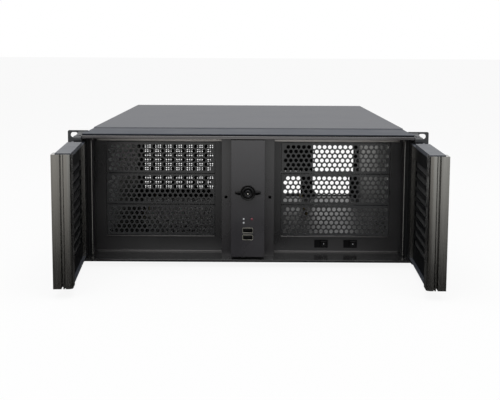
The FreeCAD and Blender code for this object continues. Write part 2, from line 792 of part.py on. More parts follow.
def usb_ports():
    """A stacked pair of ports: one body with two mouths, each with its tongue."""
    body_front = housing_face + housing_sheet
    upper, lower = usb_centres()
    body = box(-usb_width / 2, usb_width / 2, body_front, board_front,
               lower - usb_height / 2, upper + usb_height / 2)
    mouths = [box(-usb_width / 2, usb_width / 2, housing_face - usb_proud, body_front,
                  z - usb_height / 2, z + usb_height / 2) for z in (upper, lower)]
    ports = join([body] + mouths)
    pockets = []
    for z in (upper, lower):
        pocket = box(-usb_width / 2 + usb_shell, usb_width / 2 - usb_shell, housing_face - PAST,
                     body_front + usb_depth / 2,
                     z - usb_height / 2 + usb_shell, z + usb_height / 2 - usb_shell)
        tongue = box(-usb_width / 2 + 3 * usb_shell, usb_width / 2 - 3 * usb_shell,
                     housing_face + usb_tongue_set_back,
                     body_front + usb_depth, z, z + usb_tongue)
        pockets.append(pocket.cut(tongue))
    return cut(ports, pockets)


def front_port_board():
    return box(-board_half, board_half, board_front, board_front + board_thickness, board_bottom, board_top)


def status_light_pipes():
    front = housing_face - light_proud
    return Part.makeCompound([rod_y(-light_x, z, light_radius, front, board_front)
                              for z in light_centres()])


def alarm_light():
    return rod_y(light_x, light_upper_z, alarm_radius, housing_face - light_proud, board_front)


# ---- push buttons --------------------------------------------------------------------
def switch_body(index):
    """A switch that fills its opening, with a square well for the button."""
    x = switch_first_x + index * switch_pitch
    front = bay_face - switch_proud
    body = box(x - switch_width / 2, x + switch_width / 2, front, front + switch_depth,
               switch_z - switch_height / 2, switch_z + switch_height / 2)
    well_half = button_size / 2 + button_gap
    well_x = x + button_offset
    well_end = front - button_proud + button_length + button_travel + button_gap
    well = box(well_x - well_half, well_x + well_half, front - PAST, well_end,
               switch_z - well_half, switch_z + well_half)
    return body.cut(well)


def push_button(index):
    """The square button of one switch."""
    x = switch_first_x + index * switch_pitch + button_offset
    front = bay_face - switch_proud - button_proud
    button = box(x - button_size / 2, x + button_size / 2, front, front + button_length,
                 switch_z - button_size / 2, switch_z + button_size / 2)
    rim = [edge for edge in button.Edges if edge.CenterOfMass.y < front + NEAR]
    return button.makeFillet(button_edge, rim)


# ---- doors: modelled closed on the left, then swung open --------------------------------
def door_edge_stile():
    """The upright at the free edge, with a latch groove and a seal groove in its end."""
    y = door_outer_face
    groove_1 = y + outer_band
    groove_1_end = groove_1 + latch_groove
    groove_2 = groove_1_end + fin
    groove_2_end = groove_2 + seal_groove
    outline = [(edge_stile_start, y),
               (free_end, y),
               (free_end, groove_1),
               (free_end - latch_groove_depth, groove_1),
               (free_end - latch_groove_depth, groove_1_end),
               (free_end, groove_1_end),
               (free_end, groove_2),
               (free_end - seal_groove_depth, groove_2),
               (free_end - seal_groove_depth, groove_2_end),
               (free_end, groove_2_end),
               (free_end, door_inner_face),
               (edge_stile_start, door_inner_face)]
    stile = prism(outline, edge_top - door_bottom, door_bottom)
    corner = [edge for edge in stile.Edges
              if math.hypot(edge.CenterOfMass.x - free_end, edge.CenterOfMass.y - door_inner_face) < NEAR]
    return stile.makeFillet(edge_rounding, corner)


def door_hinge_stile():
    """The hollow upright at the hinge end."""
    height = panel_top - panel_bottom
    outer = box(hinge_end, hinge_stile_end, door_outer_face, door_inner_face, panel_bottom, panel_top)
    upright = [edge for edge in outer.Edges
               if edge.CenterOfMass.x < hinge_end + NEAR and abs(edge.Length - height) < NEAR]
    outer = outer.makeFillet(stile_rounding, upright)
    hollow = box(hinge_end + stile_wall, hinge_stile_end - stile_wall, door_outer_face + stile_wall,
                 door_inner_face - stile_wall, panel_bottom - PAST, panel_top + PAST)
    return outer.cut(hollow)


def vent_slots(x0, x1, columns, gap):
    """Outlines of horizontal vent slots in even rows."""
    middle = (door_bottom + door_top) / 2
    length = (x1 - x0 - (columns - 1) * gap) / columns
    outlines = []
    for row in range(vent_rows):
        z = middle + (row - (vent_rows - 1) / 2) * vent_pitch
        for column in range(columns):
            start = x0 + column * (length + gap)
            outlines.append(rectangle(start, start + length, z - vent_height / 2, z + vent_height / 2))
    return outlines


def door_face_panel():
    slots = vent_slots(hinge_stile_end + vent_margin, edge_stile_start - vent_margin,
                       face_vent_columns, face_vent_gap)
    outline = rectangle(hinge_stile_end, edge_stile_start, panel_bottom, panel_top)
    return plate(outline, slots, door_outer_face + face_set_back, door_panel_sheet)


def door_inner_panel():
    slots = vent_slots(hinge_stile_end + vent_margin, edge_stile_start - vent_margin, 1, 0)
    outline = rectangle(hinge_stile_end, edge_stile_start, panel_bottom, panel_top)
    return plate(outline, slots, door_inner_face - inner_set_back - door_panel_sheet, door_panel_sheet)


def door_filter():
    rear = door_inner_face - inner_set_back - door_panel_sheet
    return box(hinge_stile_end, edge_stile_start, rear - filter_thickness, rear, panel_bottom, panel_top)


def pin_boss(z0, z1):
    """The block inside the hinge stile that the pin turns in."""
    return box(-pin_x - boss_length / 2, -pin_x + boss_length / 2,
               door_inner_face - stile_wall - boss_length, door_inner_face - stile_wall, z0, z1)


def door_top_cap():
    """The top end plate, raised from the notch to the free edge and lapped over its stile."""
    front = door_outer_face + cap_inset
    cap = join([box(hinge_end, edge_stile_start, front, door_inner_face, panel_top, hinge_top),
                box(-pin_x + cap_notch, edge_stile_start, front, door_inner_face, hinge_top, door_top),
                box(edge_stile_start, free_end - cap_end_gap, front, door_inner_face, edge_top, door_top),
                pin_boss(panel_top - boss_depth, panel_top)])
    return cap.cut(rod_z(-pin_x, pin_y, pin_radius + running_gap,
                         hinge_top - pin_depth - pin_end_gap, hinge_top + PAST))


def door_bottom_cap():
    """The bottom end plate with the lower boss."""
    front = door_outer_face + cap_inset
    cap = join([box(hinge_end, edge_stile_start, front, door_inner_face, hinge_bottom, panel_bottom),
                pin_boss(panel_bottom, panel_bottom + boss_depth)])
    return cap.cut(rod_z(-pin_x, pin_y, pin_radius + running_gap, hinge_bottom - PAST,
                         hinge_bottom + pin_depth + pin_end_gap))


def hinge_pins():
    """Four headed pins that hang the doors in the lugs of the ears."""
    pins = []
    for side in (-1, 1):
        x = side * pin_x
        pins.append(join([rod_z(x, pin_y, pin_radius, hinge_top - pin_depth, lug_top),
                          rod_z(x, pin_y, pin_head_radius, lug_top, lug_top + pin_head_height)]))
        pins.append(join([rod_z(x, pin_y, pin_radius, lug_bottom, hinge_bottom + pin_depth),
                          rod_z(x, pin_y, pin_head_radius, lug_bottom - pin_head_height, lug_bottom)]))
    return Part.makeCompound(pins)


def swung(shape, side):
    """A piece of the closed left door, moved to its place in the open door of one side."""
    if side < 0:
        moved = shape.copy()
        moved.rotate(V(-pin_x, pin_y, 0), ALONG_Z, -left_door_open)
    else:
        moved = mirrored(shape)
        moved.rotate(V(pin_x, pin_y, 0), ALONG_Z, right_door_open)
    return moved


# ---- rear fittings -----------------------------------------------------------------------
def slot_cover(index):
    """A vented blank over one expansion slot."""
    x = expansion_x(index)
    holes = []
    middle = (expansion_bottom + expansion_top) / 2
    for row in range(cover_hole_rows):
        z = middle + (row - (cover_hole_rows - 1) / 2) * cover_hole_pitch_z
        for column in range(cover_hole_columns):
            across = (column - (cover_hole_columns - 1) / 2) * cover_hole_pitch_x
            holes.append(circle(x + across, z, cover_hole_radius))
    holes.append(circle(x, cover_screw_z, screw_radius + screw_hole_gap))
    outline = rectangle(x - cover_plate_width / 2, x + cover_plate_width / 2, cover_plate_bottom,
                        cover_plate_top)
    return plate(outline, holes, cover_plate_face, cover_plate_sheet)


def motherboard_standoffs():
    """Nine pillars in the usual places for a full-size board."""
    top = sheet + standoff_height
    pillars = []
    for across in board_holes_across:
        for along in board_holes_along:
            x = board_right - across
            y = board_rear - along
            pillar = rod_z(x, y, standoff_radius, sheet, top)
            thread = rod_z(x, y, standoff_thread_radius, top - standoff_thread_depth, top + PAST)
            pillars.append(pillar.cut(thread))
    return Part.makeCompound(pillars)


def case_screws():
    places = expansion_screws() + ear_screws() + cover_screws()
    return Part.makeCompound([screw(*place) for place in places])


# ---- the whole case --------------------------------------------------------------------
def build():
    nodes = {
        "chassis_tray": chassis_tray(),
        "rear_panel": rear_panel(),
        "top_cover": top_cover(),
        "front_hood": front_hood(),
        "top_rail": top_rail(),
        "bottom_rail": bottom_rail(),
        "left_post": post(),
        "right_post": mirrored(post()),
        "left_rack_ear": rack_ear(),
        "right_rack_ear": mirrored(rack_ear()),
        "bay_panel": bay_panel(),
        "left_bay_cage": bay_cage(-1),
        "right_bay_cage": bay_cage(1),
        "centre_channel": centre_channel(),
        "centre_housing": centre_housing(),
        "lock_knob": lock_knob(),
        "lock_cylinder": lock_cylinder(),
        "latch_bar": latch_bar(),
        "usb_ports": usb_ports(),
        "front_port_board": front_port_board(),
        "status_light_pipes": status_light_pipes(),
        "alarm_light": alarm_light(),
        "power_switch_body": switch_body(1),
        "reset_switch_body": switch_body(0),
        "power_button": push_button(1),
        "reset_button": push_button(0),
        "hinge_pins": hinge_pins(),
        "motherboard_standoffs": motherboard_standoffs(),
        "case_screws": case_screws(),
    }
    for side, name in ((-1, "left"), (1, "right")):
        for level in range(bay_count):
            nodes[f"{name}_bay_cover_{level + 1}"] = bay_cover(side, level)
        nodes[f"{name}_door_edge_stile"] = swung(door_edge_stile(), side)
        nodes[f"{name}_door_hinge_stile"] = swung(door_hinge_stile(), side)
        nodes[f"{name}_door_face_panel"] = swung(door_face_panel(), side)
        nodes[f"{name}_door_inner_panel"] = swung(door_inner_panel(), side)
        nodes[f"{name}_door_filter"] = swung(door_filter(), side)
        nodes[f"{name}_door_top_cap"] = swung(door_top_cap(), side)
        nodes[f"{name}_door_bottom_cap"] = swung(door_bottom_cap(), side)
    for index in range(expansion_count):
        nodes[f"slot_cover_{index + 1}"] = slot_cover(index)
    return nodes


os.makedirs("parts", exist_ok=True)
for name, shape in build().items():
    shape.exportStep(os.path.join("parts", name + ".step"))
    print(f"{name}: {len(shape.Solids)} solid(s), {shape.Volume / 1000:.2f} cm3, valid {shape.isValid()}")
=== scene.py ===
# %% [markdown]
# # An empty rackmount server case
# This lesson dresses the finished construction of a four-unit server case. What is left to
# make is the surface of each part, a few small pieces with softer shapes than the construction
# has, and a plain studio to see them in.

# %% Load the construction
import bpy
import json
import math
from mathutils import Matrix, Vector


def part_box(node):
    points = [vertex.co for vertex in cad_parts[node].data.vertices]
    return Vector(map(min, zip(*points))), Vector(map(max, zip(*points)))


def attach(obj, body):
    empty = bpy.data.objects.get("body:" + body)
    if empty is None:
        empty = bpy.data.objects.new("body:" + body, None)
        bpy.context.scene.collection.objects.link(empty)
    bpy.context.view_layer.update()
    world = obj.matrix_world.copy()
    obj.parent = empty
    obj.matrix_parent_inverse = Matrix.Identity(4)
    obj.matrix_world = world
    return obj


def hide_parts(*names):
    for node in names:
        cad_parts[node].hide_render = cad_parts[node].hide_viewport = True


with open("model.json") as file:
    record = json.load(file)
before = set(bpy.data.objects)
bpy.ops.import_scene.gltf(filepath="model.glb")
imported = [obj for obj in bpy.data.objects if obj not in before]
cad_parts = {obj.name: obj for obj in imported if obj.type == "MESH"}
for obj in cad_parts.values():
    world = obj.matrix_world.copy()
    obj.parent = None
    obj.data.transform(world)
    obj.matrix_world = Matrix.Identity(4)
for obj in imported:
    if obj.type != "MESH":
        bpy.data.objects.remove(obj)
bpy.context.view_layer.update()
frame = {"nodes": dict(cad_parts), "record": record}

# %% [markdown]
# ## The camera
# The case is seen from the front, a little above, as a long lens sees it: the sides of the case
# nearly vanish behind the front. A long lens far away keeps the doors and the rear edge of the
# cover in their true proportions. The camera leans by a third of a degree, like one on a hand-set
# tripod, so the right side of the case sits slightly lower in the picture.

# %% Camera
MM = 0.001
focal_length = 77.97
sensor_width = 36.0
camera_place = Vector((2.8, -1448.3, 286.8)) * MM
tilt_from_below = math.radians(82.02)
lean_angle = 0.0054

camera_data = bpy.data.cameras.new("long_lens")
camera_data.lens = focal_length
camera_data.sensor_width = sensor_width
camera_data.clip_start = 0.05
camera = bpy.data.objects.new("camera", camera_data)
bpy.context.scene.collection.objects.link(camera)
camera.location = camera_place
look_down = Matrix.Rotation(tilt_from_below, 3, "X")
lean = Matrix.Rotation(lean_angle, 3, "Z")
camera.rotation_euler = (look_down @ lean).to_euler()
bpy.context.scene.camera = camera
print("camera distance in front of the ears:", round(-camera.location.y, 3))

# %% [markdown]
# ## Helpers for materials
# Every finish is a small graph of nodes around one Principled shader. Patterns read Object
# coordinates, which are metres on these parts, so a scale of 1000 gives features of about a
# millimetre. Image textures would need unwrapped parts; patterns in space need none. These
# helpers keep the graphs short enough to read.


# %% Nodes and patterns
def new_material(name):
    """A fresh material with its Principled shader and its node tree."""
    material = bpy.data.materials.new(name)
    material.use_nodes = True
    shader = material.node_tree.nodes["Principled BSDF"]
    return material, shader, material.node_tree


def add(tree, kind, **values):
    """Add a node and set the inputs or properties named in values."""
    node = tree.nodes.new(kind)
    for key, value in values.items():
        if key in node.inputs:
            node.inputs[key].default_value = value
        else:
            setattr(node, key, value)
    return node


def object_pattern(tree, stretch=(1, 1, 1)):
    """Object coordinates, scaled differently along each axis."""
    source = tree.nodes.new("ShaderNodeTexCoord")
    mapping = add(tree, "ShaderNodeMapping", Scale=stretch)
    tree.links.new(source.outputs["Object"], mapping.inputs["Vector"])
    return mapping.outputs["Vector"]


def noise(tree, vector, scale, detail=3.0, roughness=0.55):
    """A noise pattern on the given coordinates."""
    node = add(tree, "ShaderNodeTexNoise", Scale=scale, Detail=detail, Roughness=roughness)
    tree.links.new(vector, node.inputs["Vector"])
    return node.outputs["Fac"]


finishes = {}
print("pattern helpers ready")

# %% [markdown]
# ## From a pattern to a surface
# A noise pattern keeps close to its middle value, so it is spread over the range that a socket
# needs. The same pattern can mix two colours, or raise a bump. A bump node can also pass on the
# normal of a bevel node, which rounds the edges in the shading and leaves the part as it is.


# %% Ranges, colours and bumps
def remap(tree, value, low, high, start=0.3, stop=0.7):
    """Spread a pattern's values over a new range."""
    node = add(tree, "ShaderNodeMapRange")
    node.inputs["From Min"].default_value = start
    node.inputs["From Max"].default_value = stop
    node.inputs["To Min"].default_value = low
    node.inputs["To Max"].default_value = high
    tree.links.new(value, node.inputs["Value"])
    return node.outputs["Result"]


def blend_colours(tree, factor, first, second):
    """Mix two colours by a pattern."""
    node = add(tree, "ShaderNodeMix", data_type="RGBA")
    factor_input = next(socket for socket in node.inputs if socket.type == "VALUE")
    tree.links.new(factor, factor_input)
    colour_inputs = [socket for socket in node.inputs if socket.type == "RGBA"]
    for socket, colour in zip(colour_inputs, (first, second)):
        socket.default_value = (*colour, 1)
    return next(socket for socket in node.outputs if socket.type == "RGBA")


def bump(tree, height, strength, distance, edge=0.0):
    """A bump from a height pattern, on top of softly rounded edges."""
    node = add(tree, "ShaderNodeBump", Strength=strength, Distance=distance)
    tree.links.new(height, node.inputs["Height"])
    if edge > 0:
        rounding = add(tree, "ShaderNodeBevel", Radius=edge, samples=4)
        tree.links.new(rounding.outputs["Normal"], node.inputs["Normal"])
    return node.outputs["Normal"]


print("surface helpers ready")

# %% [markdown]
# ## Powder coat
# The case, ears, rails and panels are steel with a satin black powder coat. Powder melts into a
# skin with a fine dimpled texture, called orange peel, with dimples of about a millimetre. Its
# colour is even, while its gloss drifts slowly from place to place. It could be one flat colour
# with one gloss, but large sheets would then look like plastic. Each group of parts gets its own
# shade and gloss, because the cover, the hood, the ears and the deep-set panels are coated in
# separate batches. The gloss of the cover drifts least: it is the largest flat sheet. The housing
# of the control column is aluminium under the same coat.


# %% Powder coat
def powder_coat(name, colour, gloss=0.38, edge=0.4 * MM, sheen_level=0.5, drift=0.045):
    """Satin paint with orange peel, slow gloss changes and softly rounded edges."""
    material, shader, tree = new_material(name)
    place = object_pattern(tree)
    slow = noise(tree, place, scale=14.0, detail=2.0)
    peel = noise(tree, place, scale=850.0, detail=2.0, roughness=0.5)
    lighter = tuple(min(1.0, part * 1.22 + 0.002) for part in colour)
    shade = blend_colours(tree, remap(tree, slow, 0.0, 1.0), colour, lighter)
    tree.links.new(shade, shader.inputs["Base Color"])
    tree.links.new(remap(tree, slow, gloss - drift, gloss + drift), shader.inputs["Roughness"])
    shader.inputs["Specular IOR Level"].default_value = sheen_level
    dimples = bump(tree, peel, strength=0.12, distance=0.2 * MM, edge=edge)
    tree.links.new(dimples, shader.inputs["Normal"])
    finishes[name] = material


powder_coat("case_paint", (0.009, 0.0095, 0.011), 0.4, sheen_level=0.4)
powder_coat("cover_paint", (0.026, 0.029, 0.0385), 0.475, edge=1.2 * MM, sheen_level=0.44,
            drift=0.012)
powder_coat("hood_paint", (0.011, 0.016, 0.027), 0.55, edge=0.3 * MM, sheen_level=0.34)
powder_coat("post_paint", (0.005, 0.0053, 0.006), 0.34, sheen_level=0.25)
powder_coat("ear_paint", (0.024, 0.026, 0.029), 0.4)
powder_coat("front_paint", (0.014, 0.0135, 0.0145), 0.3, sheen_level=0.7)
powder_coat("foot_paint", (0.017, 0.0165, 0.017), 0.13, sheen_level=0.5)
powder_coat("channel_paint", (0.016, 0.0145, 0.0165), 0.28, sheen_level=0.9)
powder_coat("mesh_paint", (0.02, 0.0205, 0.022), 0.28, sheen_level=0.8, edge=0.0)
powder_coat("slot_cover_paint", (0.02, 0.0205, 0.022), 0.42, edge=0.0)
powder_coat("housing_aluminium", (0.015, 0.0138, 0.017), 0.26, sheen_level=0.95)
powder_coat("door_paint", (0.014, 0.0145, 0.016), 0.36, sheen_level=0.4)
# A near-black copy of the door paint with almost no gloss: painted shade for the inner panels.
powder_coat("door_paint_with_painted_shade", (0.0011, 0.0013, 0.0017), 0.42, sheen_level=0.03)
print("finishes so far:", len(finishes))

# %% [markdown]
# ## Drawn, black-anodised metal
# The uprights of the doors are extruded aluminium. Extrusion leaves fine lines along the length
# of the bar, and anodising turns them into a soft streaky sheen. The lines come from a noise that
# is stretched a hundredfold along the bar: Z for uprights, X for rails. An anisotropic shader
# could give the sheen too, but not the single lines that show from close by.


# %% Anodised extrusion
def drawn_metal(name, colour, gloss=0.3, along="Z"):
    """Anodised aluminium with fine lines along one axis."""
    material, shader, tree = new_material(name)
    stretch = {"Z": (1.0, 1.0, 0.01), "X": (0.01, 1.0, 1.0)}[along]
    place = object_pattern(tree, stretch)
    lines = noise(tree, place, scale=2600.0, detail=3.0, roughness=0.6)
    bands = noise(tree, place, scale=260.0, detail=2.0, roughness=0.5)
    light = tuple(part * 1.3 for part in colour)
    shade = blend_colours(tree, remap(tree, bands, 0.0, 1.0), colour, light)
    tree.links.new(shade, shader.inputs["Base Color"])
    tree.links.new(remap(tree, lines, gloss - 0.05, gloss + 0.07), shader.inputs["Roughness"])
    shader.inputs["Metallic"].default_value = 1.0
    ridges = bump(tree, lines, strength=0.08, distance=0.1 * MM, edge=0.3 * MM)
    tree.links.new(ridges, shader.inputs["Normal"])
    finishes[name] = material


drawn_metal("door_aluminium", (0.2, 0.194, 0.182), 0.22)
drawn_metal("front_aluminium", (0.125, 0.121, 0.123), 0.24, "X")
drawn_metal("trim_aluminium", (0.36, 0.34, 0.325), 0.36, "X")
drawn_metal("ledge_aluminium", (0.12, 0.116, 0.116), 0.34, "X")
drawn_metal("bead_metal", (0.13, 0.128, 0.12), 0.2)
print("finishes so far:", len(finishes))

# %% [markdown]
# ## Plated steel and brass
# Cages, latch, ports, pins, screws and pillars are bare or plated metal. Zinc plate shows
# spangles, small crystals a few millimetres wide that differ in shade. Voronoi cells have such
# sharp borders, while plain noise would look like clouds. Small turned parts are too small for
# spangles and get just that fine cloudy gloss instead.


# %% Plated metals
def plated_metal(name, colour, gloss, spangle=0.0):
    """A metal with either spangles or a cloudy gloss."""
    material, shader, tree = new_material(name)
    place = object_pattern(tree)
    if spangle > 0:
        cells = add(tree, "ShaderNodeTexVoronoi", Scale=spangle)
        tree.links.new(place, cells.inputs["Vector"])
        grey = tree.nodes.new("ShaderNodeRGBToBW")
        tree.links.new(cells.outputs["Color"], grey.inputs["Color"])
        factor = remap(tree, grey.outputs["Val"], 0.0, 1.0, start=0.1, stop=0.9)
    else:
        factor = remap(tree, noise(tree, place, scale=500.0, detail=4.0), 0.0, 1.0)
    dark = tuple(part * 0.72 for part in colour)
    tree.links.new(blend_colours(tree, factor, dark, colour), shader.inputs["Base Color"])
    cloudy = remap(tree, factor, gloss - 0.06, gloss + 0.06, start=0.0, stop=1.0)
    tree.links.new(cloudy, shader.inputs["Roughness"])
    shader.inputs["Metallic"].default_value = 1.0
    scratches = noise(tree, object_pattern(tree, (1.0, 0.05, 1.0)), scale=1800.0, detail=2.0)
    scored = bump(tree, scratches, strength=0.06, distance=0.1 * MM)
    tree.links.new(scored, shader.inputs["Normal"])
    finishes[name] = material


plated_metal("cage_steel", (0.085, 0.09, 0.098), 0.42, spangle=140.0)
plated_metal("lock_steel", (0.035, 0.035, 0.037), 0.16)
plated_metal("latch_steel", (0.5, 0.5, 0.51), 0.35)
plated_metal("port_steel", (0.62, 0.6, 0.52), 0.42)
plated_metal("pin_steel", (0.16, 0.16, 0.17), 0.32)
plated_metal("standoff_brass", (0.72, 0.55, 0.24), 0.28)
plated_metal("screw_steel", (0.06, 0.06, 0.065), 0.34)
print("finishes so far:", len(finishes))

# %% [markdown]
# ## Moulded plastic
# Caps, buttons and switches are moulded plastic: a spark-eroded mould leaves a very fine pebble.
# The knob is polished, so its pebble is almost nothing. The near-black joint strip, which is
# painted shade, is dull, and the board has a smooth green solder mask. One graph serves them all,
# since they differ in colour, gloss and the depth of the pebble.


# %% Plastics
def moulded_plastic(name, colour, gloss, pebble=0.15, scale=1600.0, shine=0.5):
    """Moulded plastic with a fine pebble."""
    material, shader, tree = new_material(name)
    place = object_pattern(tree)
    pattern = noise(tree, place, scale, detail=2.0)
    slow = noise(tree, place, scale=40.0, detail=2.0)
    lighter = tuple(min(1.0, part * 1.25) for part in colour)
    tree.links.new(blend_colours(tree, slow, colour, lighter), shader.inputs["Base Color"])
    tree.links.new(remap(tree, slow, gloss - 0.03, gloss + 0.04), shader.inputs["Roughness"])
    shader.inputs["Specular IOR Level"].default_value = shine
    pebbled = bump(tree, pattern, strength=pebble, distance=0.15 * MM, edge=0.2 * MM)
    tree.links.new(pebbled, shader.inputs["Normal"])
    finishes[name] = material
    return material


moulded_plastic("knob_plastic", (0.0012, 0.0012, 0.0014), 0.1, 0.03, shine=0.26)
# Near-black, dull finish of the joint strip: painted shade for the shadow in the joint.
moulded_plastic("painted_shade_black", (0.0015, 0.0015, 0.0016), 0.6, 0.2, shine=0.1)
moulded_plastic("port_plastic", (0.003, 0.003, 0.0032), 0.4, 0.1, shine=0.2)
moulded_plastic("switch_plastic", (0.002, 0.002, 0.0024), 0.3, 0.1, shine=0.15)
moulded_plastic("button_plastic", (0.003, 0.003, 0.0034), 0.2, 0.06, shine=0.3)
moulded_plastic("cap_plastic", (0.036, 0.041, 0.052), 0.46)
moulded_plastic("board_plastic", (0.01, 0.09, 0.035), 0.3, 0.05)
print("finishes so far:", len(finishes))

# %% [markdown]
# ## Lights and foam
# A status light is the end of a milky light pipe, and these lights are off. Their caps get a faint
# painted glow, which stands in for light from the room caught in the pipe. It could be clear
# plastic over a lamp, but a faint glow of its own gives the same spot. The door filters are
# open-cell foam, whose cells are dark holes in a web. The distance to the edge of a Voronoi cell
# draws that web.


# %% Lights and foam
def light_cap(name, colour, glow):
    """A small lamp cap with a faint painted glow, though its lamp is off."""
    material = moulded_plastic(name, colour, 0.12, 0.02)
    shader = material.node_tree.nodes["Principled BSDF"]
    shader.inputs["Emission Color"].default_value = (*colour, 1)
    shader.inputs["Emission Strength"].default_value = glow


def foam(name, colour):
    """Open-cell foam: dark cells between lighter webs."""
    material, shader, tree = new_material(name)
    cells = add(tree, "ShaderNodeTexVoronoi", feature="DISTANCE_TO_EDGE", Scale=900.0)
    tree.links.new(object_pattern(tree), cells.inputs["Vector"])
    web = remap(tree, cells.outputs["Distance"], 1.0, 0.0, start=0.02, stop=0.3)
    dark = tuple(part * 0.2 for part in colour)
    tree.links.new(blend_colours(tree, web, dark, colour), shader.inputs["Base Color"])
    shader.inputs["Roughness"].default_value = 0.9
    cellular = bump(tree, web, strength=0.8, distance=0.6 * MM)
    tree.links.new(cellular, shader.inputs["Normal"])
    finishes[name] = material


# Painted glow on the unlit caps; the clear one also makes the dots on the push buttons glow.
light_cap("clear_light", (0.42, 0.43, 0.44), 0.04)
light_cap("red_light", (0.16, 0.035, 0.05), 0.06)
foam("filter_foam", (0.02, 0.02, 0.021))
print("finishes in all:", len(finishes))

# %% [markdown]
# ## Dressing the construction
# The record names one finish for each part. Every slot of a part's object takes that finish, and
# the part itself stays exactly as it is. A few parts share a finish in the record but look
# different on the real case. The fixed strip over the bays is duller than the cover. The posts,
# the centre channel and the smooth bottom rail are painted, while the upper rail is anodised.
# The inner panels of the doors get a near-black copy of the door paint with almost no gloss, a
# painted shade for the dark reflections they would catch, and the ports are black inside their
# steel shells.

# %% Assign the finishes
slot_of = {entry["node"]: entry["material_slot"] for entry in frame["record"]["subparts"]}
own_finish = {
    "front_hood": "hood_paint",
    "left_post": "post_paint",
    "right_post": "post_paint",
    "centre_channel": "channel_paint",
    "usb_ports": "port_plastic",
    "bottom_rail": "foot_paint",
    # The inner door panels take the painted-shade copy of the door paint.
    "left_door_inner_panel": "door_paint_with_painted_shade",
    "right_door_inner_panel": "door_paint_with_painted_shade",
}
for node_name, node_object in frame["nodes"].items():
    finish = finishes[own_finish.get(node_name, slot_of[node_name])]
    node_object.data.materials.clear()
    node_object.data.materials.append(finish)
print("dressed parts:", len(slot_of))

# %% [markdown]
# ## Shaping by hand
# New pieces start as a primitive of the right size at the right place and are shaped in edit
# mode. An operator acts on everything that is selected, and a fresh primitive is selected all
# over, so these helpers clear the selection first and then pick faces or edges by where they are.


# %% Modelling helpers
def start(adder, name, **values):
    """Add a primitive with nothing else selected, and give it a name."""
    bpy.ops.object.select_all(action="DESELECT")
    adder(**values)
    piece = bpy.context.object
    piece.name = name
    piece.data.name = name
    bpy.ops.object.transform_apply(location=True, rotation=True, scale=True)
    return piece


def select_in_edit(piece, kind, wanted):
    """Enter edit mode with only the wanted vertices, edges or faces selected."""
    bpy.context.view_layer.objects.active = piece
    bpy.ops.object.mode_set(mode="EDIT")
    bpy.ops.mesh.select_mode(type=kind)
    bpy.ops.mesh.select_all(action="DESELECT")
    bpy.ops.object.mode_set(mode="OBJECT")
    mesh = piece.data
    elements = {"VERT": mesh.vertices, "EDGE": mesh.edges, "FACE": mesh.polygons}[kind]
    for element in elements:
        element.select = bool(wanted(mesh, element))
    bpy.ops.object.mode_set(mode="EDIT")


def leave_edit():
    """Go back to object mode."""
    bpy.ops.object.mode_set(mode="OBJECT")


def facing_front(mesh, face):
    """Faces that look towards the front of the case."""
    return face.normal.y < -0.99


def facing_back(mesh, face):
    """Faces that look towards the rear of the case."""
    return face.normal.y > 0.99


def extent(mesh, edge, axis):
    """How far an edge reaches along one axis."""
    first, second = (mesh.vertices[number].co for number in edge.vertices)
    return abs(first[axis] - second[axis])


def apply_bevel(piece, width, segments=3, angle=40.0):
    """Round the sharp edges with a bevel modifier and apply it."""
    bpy.context.view_layer.objects.active = piece
    modifier = piece.modifiers.new("rounding", "BEVEL")
    modifier.width = width
    modifier.segments = segments
    modifier.limit_method = "ANGLE"
    modifier.angle_limit = math.radians(angle)
    bpy.ops.object.modifier_apply(modifier=modifier.name)


def dress(piece, finish, body):
    """Smooth the piece, give it its finish and let it ride on its body."""
    bpy.ops.object.select_all(action="DESELECT")
    piece.select_set(True)
    bpy.context.view_layer.objects.active = piece
    bpy.ops.object.shade_smooth_by_angle(angle=math.radians(35))
    piece.data.materials.clear()
    piece.data.materials.append(finishes[finish])
    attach(piece, body)
    print(piece.name, "has", len(piece.data.polygons), "faces")


def middle(node):
    """Centre and half sizes of a part, in metres."""
    low, high = (Vector(corner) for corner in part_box(node))
    return (low + high) / 2, (high - low) / 2


print("modelling helpers ready")

# %% [markdown]
# ## The disc of the knob
# The lock has a round moulded knob with two short wings. Its face is a set of rings: a rounded
# rim, a groove, and a raised collar around the key cylinder. Rings like these could be a turned
# profile, but a cylinder whose front face is inset and pushed in or out again and again gives
# them with fewer points to place. A tube behind the disc reaches through the housing.

# %% Disc of the knob
core_mid, core_half = middle("lock_cylinder")
knob_mid, knob_half = middle("lock_knob")
housing_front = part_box("centre_housing")[0][1]
knob_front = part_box("lock_knob")[0][1]
knob_radius = knob_half.z
knob_depth = housing_front - knob_front
tube_wall = 1.8 * MM
tube_radius = core_half.x + tube_wall
ring_steps = ((1.0, 0.0), (0.5, 0.9), (1.3, 0.0), (0.4, -0.7), (1.2, 0.0), (0.3, 0.8))

knob = start(bpy.ops.mesh.primitive_cylinder_add, "winged_knob", vertices=96, radius=knob_radius,
             depth=knob_depth, location=(0, knob_front + knob_depth / 2, knob_mid.z),
             rotation=(math.radians(90), 0, 0))
select_in_edit(knob, "FACE", facing_front)
for width, push in ring_steps:
    bpy.ops.mesh.inset(thickness=width * MM, depth=0)
    bpy.ops.transform.translate(value=(0, push * MM, 0))
leave_edit()
select_in_edit(knob, "FACE", facing_back)
bpy.ops.mesh.inset(thickness=knob_radius - tube_radius, depth=0)
bpy.ops.mesh.extrude_region_move(TRANSFORM_OT_translate={
    "value": (0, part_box("lock_knob")[1][1] - housing_front, 0)})
leave_edit()
apply_bevel(knob, 0.3 * MM)
print("disc faces:", len(knob.data.polygons))

# %% [markdown]
# ## The wings of the knob
# A finger turns the knob by two short wings that taper to blunt tips. They are one block through
# the disc, cut across into short lengths and pinched at both ends. A boolean union would weld
# them, but the crossing lies inside the disc, where nobody sees it, so the two are only joined
# into one object: one moulding, as on the real knob.

# %% Wings of the knob
wing_thickness = 3.0 * MM
wing_height = 6.4 * MM
tip_pinch = 0.55

